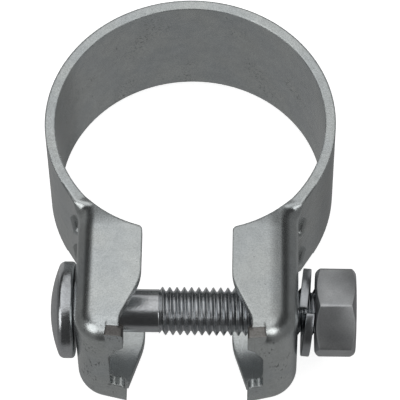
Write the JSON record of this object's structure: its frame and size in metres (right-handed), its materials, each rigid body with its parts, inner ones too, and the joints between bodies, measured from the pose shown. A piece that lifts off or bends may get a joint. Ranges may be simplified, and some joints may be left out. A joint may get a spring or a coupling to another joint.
{
  "type": "exhaust pipe clamp",
  "caption": "Pressed steel band clamp with cup-shaped ears, drawn together by one bolt, spring washer and nut, for joining exhaust pipes.",
  "frame": {"origin": "centre of the pipe seat, on the pipe's axis and half way across the band", "axes": "+Z along the pipe's axis, +X along the bolt towards the nut, the ears and the gap towards -Y"},
  "size_m": [0.0651, 0.0822, 0.0328],
  "materials": {
    "zinc_sheet": "bright zinc plate on cold-rolled strip, satin with a faint rolled grain",
    "zinc_bolt": "zinc plate with a bluish passivation on a cold-headed bolt with rolled threads",
    "zinc_washer": "zinc plate on hardened spring steel, ground flats",
    "zinc_nut": "zinc plate on a forged nut, fine matt grain"
  },
  "bodies": {
    "clamp": {"clamp_band": "zinc_sheet"},
    "bolt": {"clamp_bolt": "zinc_bolt"},
    "washer": {"spring_washer": "zinc_washer"},
    "nut": {"hex_nut": "zinc_nut"}
  },
  "joints": [
    {"name": "bolt_play", "type": "slide", "parent": "clamp", "child": "bolt", "axis": [1, 0, 0], "range_m": [0, 0.00038]},
    {"name": "washer_slide", "type": "slide", "parent": "bolt", "child": "washer", "axis": [1, 0, 0], "range_m": [0, 0.00563]},
    {"name": "nut_turn", "type": "hinge", "parent": "washer", "child": "nut", "pos_m": [0.03, -0.0374, 0], "axis": [1, 0, 0], "range_deg": [0, 1352]}
  ],
  "couplings": [
    {"joint": "nut_turn", "follows": "washer_slide", "rad_per_m": 4188.8}
  ]
}
